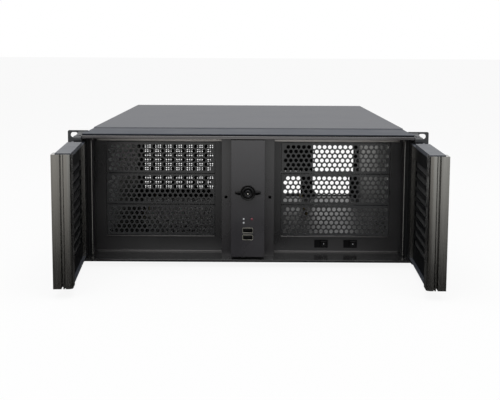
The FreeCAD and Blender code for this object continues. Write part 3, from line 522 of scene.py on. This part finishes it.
wings = start(bpy.ops.mesh.primitive_cube_add, "knob_wings", size=1.0,
              location=(0, housing_front - wing_thickness / 2, knob_mid.z),
              scale=(2 * knob_half.x, wing_thickness, wing_height))
select_in_edit(wings, "EDGE", lambda mesh, edge: extent(mesh, edge, 0) > 10 * MM)
bpy.ops.mesh.subdivide(number_cuts=6)
leave_edit()
select_in_edit(wings, "VERT", lambda mesh, vertex: abs(vertex.co.x) > knob_half.x - 0.1 * MM)
bpy.ops.transform.resize(value=(1, 1, tip_pinch), center_override=(0, housing_front, knob_mid.z))
leave_edit()
apply_bevel(wings, 0.7 * MM)
bpy.ops.object.select_all(action="DESELECT")
wings.select_set(True)
knob.select_set(True)
bpy.context.view_layer.objects.active = knob
bpy.ops.object.join()
dress(knob, "knob_plastic", "lock")
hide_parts("lock_knob")

# %% [markdown]
# ## The key cylinder
# The key turns a small metal cylinder in the middle of the knob. Its face has a chamfered edge
# and a narrow key slot. The slot is cut with a boolean, the usual way to take one solid out of
# another, and the cutter is removed afterwards.

# %% Key cylinder
key_width = 1.2 * MM
key_height = 5.0 * MM
key_depth = 4.0 * MM

core_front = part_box("lock_cylinder")[0][1]
core = start(bpy.ops.mesh.primitive_cylinder_add, "key_cylinder", vertices=64,
             radius=core_half.x, depth=2 * core_half.y, location=tuple(core_mid),
             rotation=(math.radians(90), 0, 0))
select_in_edit(core, "FACE", facing_front)
for width, push in ((0.9, 0.5), (0.5, -0.4)):
    bpy.ops.mesh.inset(thickness=width * MM, depth=0)
    bpy.ops.transform.translate(value=(0, push * MM, 0))
leave_edit()
apply_bevel(core, 0.2 * MM, 2)
cutter = start(bpy.ops.mesh.primitive_cube_add, "slot_cutter", size=1.0,
               location=(0, core_front, core_mid.z), scale=(key_width, 2 * key_depth, key_height))
bpy.context.view_layer.objects.active = core
slot_cut = core.modifiers.new("key_slot", "BOOLEAN")
slot_cut.operation = "DIFFERENCE"
slot_cut.object = cutter
bpy.ops.object.modifier_apply(modifier=slot_cut.name)
bpy.data.objects.remove(cutter)
dress(core, "lock_steel", "lock")
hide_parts("lock_cylinder")

# %% [markdown]
# ## The first wafer
# Thin steel wafers lie across the key slot, and the first one shows as a bright spot. It is a
# small block whose upper front edge is pushed back, so that a key can ride over it.

# %% Key wafer
wafer_middle = Vector((0, core_front + 1.0 * MM, core_mid.z - 1.2 * MM))

wafer = start(bpy.ops.mesh.primitive_cube_add, "key_wafer", size=1.0,
              location=tuple(wafer_middle), scale=(1.1 * MM, 1.6 * MM, 1.3 * MM))
select_in_edit(wafer, "VERT", lambda mesh, vertex: vertex.co.y < wafer_middle.y
               and vertex.co.z > wafer_middle.z)
bpy.ops.transform.translate(value=(0, 0.7 * MM, 0))
leave_edit()
apply_bevel(wafer, 0.12 * MM, 2)
dress(wafer, "port_steel", "lock")

# %% [markdown]
# ## Port shells
# Each port sits in a folded steel shell, which shows as a thin bright line around a black
# mouth. The shell could be a folded strip, but only its rim is ever seen. So a block gets rounded
# edges, its front and back are inset, and the two openings are bridged: a rectangular tube with
# thin walls.


# %% Port shells
shell_margin = 0.2 * MM
shell_length = 5.0 * MM
shell_height = 6.8 * MM
shell_centre_depth = 2.4 * MM
shell_wall = 0.48 * MM
port_height = 6.6 * MM


def port_shell(name, centre_z):
    """A thin rounded tube around the mouth of one port."""
    port_mid, port_half = middle("usb_ports")
    port_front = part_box("usb_ports")[0][1]
    shell = start(bpy.ops.mesh.primitive_cube_add, name, size=1.0,
                  location=(port_mid.x, port_front + shell_centre_depth, centre_z),
                  scale=(2 * port_half.x + shell_margin, shell_length, shell_height))
    select_in_edit(shell, "EDGE", lambda mesh, edge: extent(mesh, edge, 1) > 1.0 * MM)
    bpy.ops.mesh.bevel(offset=1.0 * MM, segments=4, affect="EDGES")
    leave_edit()
    select_in_edit(shell, "FACE", lambda mesh, face: abs(face.normal.y) > 0.99)
    bpy.ops.mesh.inset(thickness=shell_wall, depth=0)
    bpy.ops.mesh.bridge_edge_loops()
    leave_edit()
    apply_bevel(shell, 0.1 * MM, 2)
    dress(shell, "port_steel", "case")


ports_low, ports_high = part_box("usb_ports")
port_shell("upper_port_shell", ports_high[2] - port_height / 2)
port_shell("lower_port_shell", ports_low[2] + port_height / 2)

# %% [markdown]
# ## Light domes and button dots
# The ends of the light pipes are small clear domes, and each push button has a tiny bright
# dot in its middle. A dome could be spun from a curve, but a sphere that is flattened and cut in
# half by bisecting has the same form. Its flat back gets a skirt that sinks into the part behind
# it. One function makes all five, because they differ only in size and finish.


# %% Domes
dome_stand_out = 0.1 * MM
skirt_depth = 0.2 * MM
dome_fit = 0.95


def dome(name, place, radius, height, finish, body):
    """Half a flattened sphere that stands out towards the front."""
    piece = start(bpy.ops.mesh.primitive_uv_sphere_add, name, segments=32, ring_count=16,
                  radius=radius, location=place, scale=(1, height / radius, 1))
    bpy.ops.object.mode_set(mode="EDIT")
    bpy.ops.mesh.select_all(action="SELECT")
    bpy.ops.mesh.bisect(plane_co=place, plane_no=(0, 1, 0), clear_outer=True, use_fill=True)
    leave_edit()
    select_in_edit(piece, "FACE", facing_back)
    bpy.ops.mesh.inset(thickness=radius * 0.15, depth=0)
    bpy.ops.transform.translate(value=(0, skirt_depth, 0))
    leave_edit()
    dress(piece, finish, body)


def front_of(part_mid, part_half):
    """The place of a dome on the front of a part."""
    return (part_mid.x, part_mid.y - part_half.y + dome_stand_out, part_mid.z)


pipes_low, pipes_high = (Vector(corner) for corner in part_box("status_light_pipes"))
pipe_radius = (pipes_high.x - pipes_low.x) / 2
pipe_x = (pipes_high.x + pipes_low.x) / 2
for label, z in (("upper", pipes_high.z - pipe_radius), ("lower", pipes_low.z + pipe_radius)):
    dome(label + "_status_dome", (pipe_x, pipes_low.y + dome_stand_out, z),
         pipe_radius * dome_fit, 0.5 * MM, "clear_light", "case")
alarm_mid, alarm_half = middle("alarm_light")
dome("alarm_dome", front_of(alarm_mid, alarm_half), alarm_half.x * dome_fit, 0.6 * MM,
     "red_light", "case")
# The dots take the clear cap finish, so they shine by a painted glow.
for label in ("power", "reset"):
    button_mid, button_half = middle(label + "_button")
    dome(label + "_button_dot", front_of(button_mid, button_half), 0.75 * MM, 0.4 * MM,
         "clear_light", label + "_button")

# %% [markdown]
# ## The hem of the cover
# The cover lies one sheet higher than the fixed strip before it. Its front edge is rolled down to
# the strip in a short slope, so the joint catches the light as a soft line and not as a step.
# A block as long as the slope has its upper front edge moved down, until only a thin lip is left
# in front: a straight slope needs no curve at this size.

# %% Hem of the cover
hem_length = 4.5 * MM
hem_lip = 0.15 * MM

cover_low, cover_high = (Vector(corner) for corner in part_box("top_cover"))
hood_high = Vector(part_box("front_hood")[1])
hem_height = cover_high.z - hood_high.z
hem_middle = Vector(((cover_low.x + cover_high.x) / 2, cover_low.y - hem_length / 2,
                     hood_high.z + hem_height / 2))
hem = start(bpy.ops.mesh.primitive_cube_add, "cover_hem", size=1.0, location=tuple(hem_middle),
            scale=(cover_high.x - cover_low.x, hem_length, hem_height))
select_in_edit(hem, "VERT", lambda mesh, vertex: vertex.co.y < hem_middle.y
               and vertex.co.z > hem_middle.z)
bpy.ops.transform.translate(value=(0, 0, hem_lip - hem_height))
leave_edit()
dress(hem, "cover_paint", "case")

# %% [markdown]
# ## Bright trims
# The front frame has drawn edges that catch the light: a strip under the upper rail, a bright
# edge on each ledge of the bay panel, under the window and along the foot, and a round bead
# down the inner edge of each post, with a flared foot. The strips are blocks with an inset face
# that leans back a little, so that it looks up at the light. The ones on the ledges are duller,
# because they are rolled with the sheet. The beads are round bars whose lower ends are widened.


# %% Strips and beads
def trim_strip(name, finish, x0, x1, y0, y1, z0, z1):
    """A drawn strip whose raised face leans back a little."""
    height = z1 - z0
    strip = start(bpy.ops.mesh.primitive_cube_add, name, size=1.0,
                  location=((x0 + x1) / 2, (y0 + y1) / 2, (z0 + z1) / 2),
                  scale=(x1 - x0, y1 - y0, height))
    select_in_edit(strip, "FACE", facing_front)
    bpy.ops.mesh.inset(thickness=height * 0.15, depth=0)
    leave_edit()
    select_in_edit(strip, "VERT", lambda mesh, vertex: vertex.co.y < y0 + 0.05 * MM
                   and vertex.co.z < z0 + height * 0.4)
    bpy.ops.transform.translate(value=(0, -height * 0.07, 0))
    leave_edit()
    apply_bevel(strip, 0.15 * MM, 2, 25.0)
    dress(strip, finish, "case")


def bead(name, x, y, radius, z0, z1):
    """A round bead with a flared foot."""
    bar = start(bpy.ops.mesh.primitive_cylinder_add, name, vertices=24, radius=radius,
                depth=z1 - z0, location=(x, y, (z0 + z1) / 2))
    select_in_edit(bar, "FACE", lambda mesh, face: face.normal.z < -0.99)
    bpy.ops.mesh.extrude_region_move(TRANSFORM_OT_translate={"value": (0, 0, -2.0 * MM)})
    bpy.ops.transform.resize(value=(1.5, 1.3, 1), center_override=(x, y, z0))
    bpy.ops.mesh.extrude_region_move(TRANSFORM_OT_translate={"value": (0, 0, -2.5 * MM)})
    leave_edit()
    apply_bevel(bar, 0.3 * MM)
    dress(bar, "bead_metal", "case")


print("strip and bead ready")

# %% [markdown]
# ## Placing the trims
# Every trim is placed from the parts that it touches, so it follows them when a size changes. A
# strip stands 0.02 mm off the sheet behind it, which keeps the two faces from mixing. Both sides
# use the same numbers: the side, -1 or 1, mirrors them about the middle of the case.

# %% Place the strips and beads
sheet_gap = 0.02 * MM
strip_depth = 1.2 * MM
ledge_strip_depth = 0.45 * MM
bead_radius = 1.0 * MM
bead_inset = 1.3 * MM
panel_step = 0.6 * MM

panel_low = Vector(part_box("bay_panel")[0])
rail_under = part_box("top_rail")[0][2]
floor_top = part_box("bottom_rail")[1][2]
channel_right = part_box("centre_channel")[1][0]
post_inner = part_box("right_post")[0][0]
window_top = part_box("right_bay_cover_3")[1][2]
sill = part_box("right_bay_cover_1")[0][2]
cover_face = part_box("right_bay_cover_3")[0][1]
panel_face = cover_face - panel_step
ledge_front = panel_low.y - ledge_strip_depth
ledge_back = panel_low.y - sheet_gap
for side, label in ((-1, "left"), (1, "right")):
    x0, x1 = sorted((side * (channel_right + 0.3 * MM), side * (post_inner - 1.0 * MM)))
    window_low, window_high = (Vector(corner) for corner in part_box(label + "_bay_cover_1"))
    trim_strip(label + "_upper_trim", "trim_aluminium", x0, x1, panel_face - strip_depth,
               panel_face - sheet_gap, window_top + 1.4 * MM, rail_under + 2.0 * MM)
    trim_strip(label + "_sill_trim", "ledge_aluminium", window_low.x, window_high.x,
               ledge_front, ledge_back, sill - 1.9 * MM, sill - 0.5 * MM)
    trim_strip(label + "_foot_trim", "ledge_aluminium", x0, x1,
               ledge_front, ledge_back, panel_low.z + 0.1 * MM, panel_low.z + 1.5 * MM)
    post_mid, post_half = middle(label + "_post")
    inner_edge = post_mid.x - side * post_half.x
    bead(label + "_bead", inner_edge + side * bead_inset,
         post_mid.y - post_half.y + bead_radius, bead_radius,
         floor_top + 4.8 * MM, rail_under + 4.0 * MM)

# %% [markdown]
# ## The joint under the fixed strip
# A narrow joint runs between the fixed strip and the upper rail. A near-black strip fills it as
# painted shade: it stands in for the shadow in the joint, so the joint reads as a dark line. The
# strip is squeezed flat between the two sheets, so it is a block with a rounded, bulging front and
# not a round bar.

# %% Joint shadow strip
shadow_strip_height = 1.15 * MM
shadow_strip_depth = 1.45 * MM
shadow_strip_set_back = 1.25 * MM
shadow_strip_short = 0.4 * MM
bulge = 0.3 * MM

rail_low, rail_high = (Vector(corner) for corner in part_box("top_rail"))
# A near-black strip put where the joint has only shade: painted shade.
shadow_strip = start(bpy.ops.mesh.primitive_cube_add, "joint_shadow_strip", size=1.0,
             location=(0, rail_low.y + shadow_strip_set_back, rail_high.z - shadow_strip_height / 2),
             scale=(rail_high.x - rail_low.x - shadow_strip_short, shadow_strip_depth, shadow_strip_height))
select_in_edit(shadow_strip, "FACE", facing_front)
bpy.ops.mesh.inset(thickness=bulge, depth=0)
bpy.ops.transform.translate(value=(0, -bulge, 0))
leave_edit()
apply_bevel(shadow_strip, 0.12 * MM, 2, 25.0)
dress(shadow_strip, "painted_shade_black", "case")

# %% [markdown]
# ## Sums on rays
# The studio treats some rays differently from others, which takes a little arithmetic in the
# shader: the larger of two values, a product, and a mix of two shaders. Each is one node, and a
# function for each keeps the floor and the sky readable.


# %% Shader arithmetic
def largest_of(tree, first, second):
    """The larger of two values."""
    node = add(tree, "ShaderNodeMath", operation="MAXIMUM")
    tree.links.new(first, node.inputs[0])
    tree.links.new(second, node.inputs[1])
    return node.outputs[0]


def product_of(tree, first, second):
    """Two values multiplied; the second may be a plain number."""
    node = add(tree, "ShaderNodeMath", operation="MULTIPLY")
    tree.links.new(first, node.inputs[0])
    if isinstance(second, float):
        node.inputs[1].default_value = second
    else:
        tree.links.new(second, node.inputs[1])
    return node.outputs[0]


def mix_shaders(tree, factor, first, second):
    """One shader where the factor is 0, the other where it is 1."""
    node = tree.nodes.new("ShaderNodeMixShader")
    tree.links.new(factor, node.inputs["Fac"])
    tree.links.new(first, node.inputs[1])
    tree.links.new(second, node.inputs[2])
    return node.outputs["Shader"]


print("ray helpers ready")

# %% [markdown]
# ## The floor
# The case lies on a wide pale floor. The floor has to stay white in the picture and still keep a
# soft shadow, so its material adds some white of its own for rays that come from the camera, from
# gloss or through glass. A brighter lamp would whiten the floor too, but also the black case.
# For gloss, that white is dimmer close to the case: a painted shade that stands in for the shade
# the case would cast on a real floor. It gives every upright face its gradient, from light at the
# top to dark near the floor. Gloss also sees a painted light that makes one side a little brighter
# and cooler, as a window would.
# Only reflections change: matt surfaces get no light from the added white.


# %% Floor
# Tint and gain of the painted light on one side of the floor, seen only in gloss.
warm_side = (1.0, 0.975, 0.93)
cool_side = (0.975, 1.0, 1.0)
side_reach = 0.5
least_gain, most_gain = 0.95, 1.3


def pale_floor(name, whiteness, near, far, painted_shade_level):
    """Matt white that glows for camera and glass, and for gloss with painted shade near the case.
    """
    material, shader, tree = new_material(name)
    shader.inputs["Base Color"].default_value = (0.86, 0.86, 0.86, 1)
    shader.inputs["Roughness"].default_value = 0.9
    shader.inputs["Specular IOR Level"].default_value = 0.1
    place = object_pattern(tree)
    # Painted shade: the gloss glow is dimmest near the middle of the case and full far away.
    reach = add(tree, "ShaderNodeVectorMath", operation="LENGTH")
    tree.links.new(place, reach.inputs[0])
    away = remap(tree, reach.outputs["Value"], painted_shade_level, 1.0, start=near, stop=far)
    # Painted light: one side of the gloss glow is brighter and cooler.
    sides = tree.nodes.new("ShaderNodeSeparateXYZ")
    tree.links.new(place, sides.inputs["Vector"])
    painted_light_side = remap(tree, sides.outputs["X"], 0.0, 1.0, start=-side_reach, stop=side_reach)
    gain = remap(tree, painted_light_side, least_gain, most_gain, start=0.0, stop=1.0)
    tint = blend_colours(tree, painted_light_side, warm_side, cool_side)
    rays = tree.nodes.new("ShaderNodeLightPath")
    direct = largest_of(tree, rays.outputs["Is Camera Ray"], rays.outputs["Is Transmission Ray"])
    glossy = rays.outputs["Is Glossy Ray"]
    share = largest_of(tree, product_of(tree, direct, whiteness), glossy)
    plain = add(tree, "ShaderNodeEmission", Color=(1, 1, 1, 1))
    tinted = tree.nodes.new("ShaderNodeEmission")
    tree.links.new(tint, tinted.inputs["Color"])
    tree.links.new(product_of(tree, away, gain), tinted.inputs["Strength"])
    glow = mix_shaders(tree, glossy, plain.outputs["Emission"], tinted.outputs["Emission"])
    surface = mix_shaders(tree, share, shader.outputs["BSDF"], glow)
    tree.links.new(surface, tree.nodes["Material Output"].inputs["Surface"])
    return material


bpy.ops.object.select_all(action="DESELECT")
bpy.ops.mesh.primitive_plane_add(size=60.0, location=(0, 0, 0))
floor = bpy.context.object
floor.name = "studio_floor"
floor.data.materials.append(pale_floor("studio_white", whiteness=0.9, near=0.45, far=1.75,
                                       painted_shade_level=0.03))
print("floor ready:", floor.name)

# %% [markdown]
# ## The sky
# A white sky fills in the shadows. It lights the case at half its strength, so that the black
# paint keeps its depth, while the camera and reflections see it fully white.

# %% World
fill_strength = 0.5
seen_strength = 1.0

world = bpy.data.worlds.new("studio_air")
bpy.context.scene.world = world
world.use_nodes = True
air = world.node_tree
background = air.nodes["Background"]
background.inputs["Color"].default_value = (1, 1, 1, 1)
background.inputs["Strength"].default_value = fill_strength
bright = add(air, "ShaderNodeBackground", Color=(1, 1, 1, 1), Strength=seen_strength)
rays = add(air, "ShaderNodeLightPath")
seen = largest_of(air, rays.outputs["Is Camera Ray"], rays.outputs["Is Transmission Ray"])
seen = largest_of(air, seen, rays.outputs["Is Glossy Ray"])
sky = mix_shaders(air, seen, background.outputs["Background"], bright.outputs["Background"])
air.links.new(sky, air.nodes["World Output"].inputs["Surface"])
print("sky ready:", world.name)

# %% [markdown]
# ## Soft light
# One large softbox hangs above and in front of the case, and a second, weaker one stands beside
# the camera. Large lamps give the satin paint its gradient from light at the top to dark near the
# floor, without hard shadows.


# %% Lamps
def softbox(name, place, target, size, power):
    """A square area lamp that faces its target."""
    data = bpy.data.lights.new(name, "AREA")
    data.shape = "SQUARE"
    data.size = size
    data.energy = power
    lamp = bpy.data.objects.new(name, data)
    bpy.context.scene.collection.objects.link(lamp)
    lamp.location = place
    direction = Vector(target) - Vector(place)
    lamp.rotation_euler = direction.to_track_quat("-Z", "Y").to_euler()


softbox("top_softbox", place=(0.0, -0.3, 1.9), target=(0, 0.2, 0), size=1.8, power=22.0)
softbox("front_softbox", place=(-0.5, -2.4, 1.7), target=(0, 0, 0.1), size=1.4, power=12.0)
bpy.context.scene.view_settings.view_transform = "Standard"
print("lamps:", [item.name for item in bpy.data.lights])
